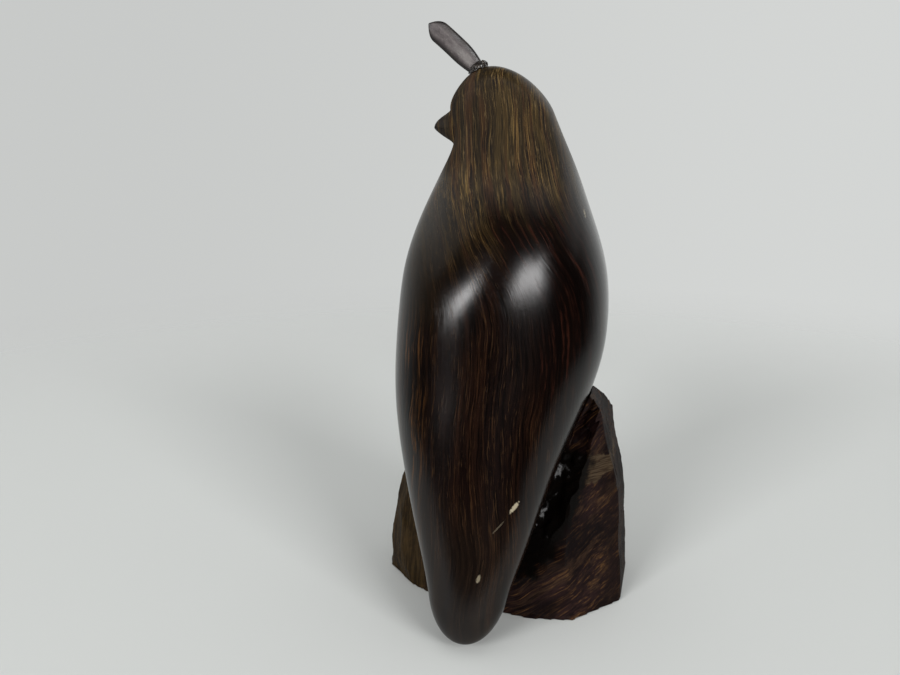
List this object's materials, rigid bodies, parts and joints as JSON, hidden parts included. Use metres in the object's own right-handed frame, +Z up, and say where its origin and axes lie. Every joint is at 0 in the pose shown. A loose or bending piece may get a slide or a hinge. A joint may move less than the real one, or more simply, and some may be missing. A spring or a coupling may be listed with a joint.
{
  "type": "carved wooden quail figurine",
  "caption": "Polished dark ironwood quail with its head turned, a leaf-shaped topknot and a long tail, seated on a rough-hewn varnished block.",
  "frame": {"origin": "middle of the block's flat underside", "axes": "+Z up; the bird's breast faces -Y and its tail hangs down towards +Y; +X is the bird's left, where its beak points"},
  "size_m": [0.0938, 0.1071, 0.207],
  "materials": {
    "hewn_wood": "chisel facets under gloss varnish",
    "polished_wood": "satin polish",
    "topknot_wood": "satin polish",
    "glue": "clear set glue",
    "dowel_wood": "bare"
  },
  "bodies": {
    "root": {"base_block": "hewn_wood", "quail_body": "polished_wood", "topknot": "topknot_wood", "topknot_glue": "glue", "seat_dowel_front": "dowel_wood", "seat_dowel_rear": "dowel_wood"}
  },
  "joints": []
}
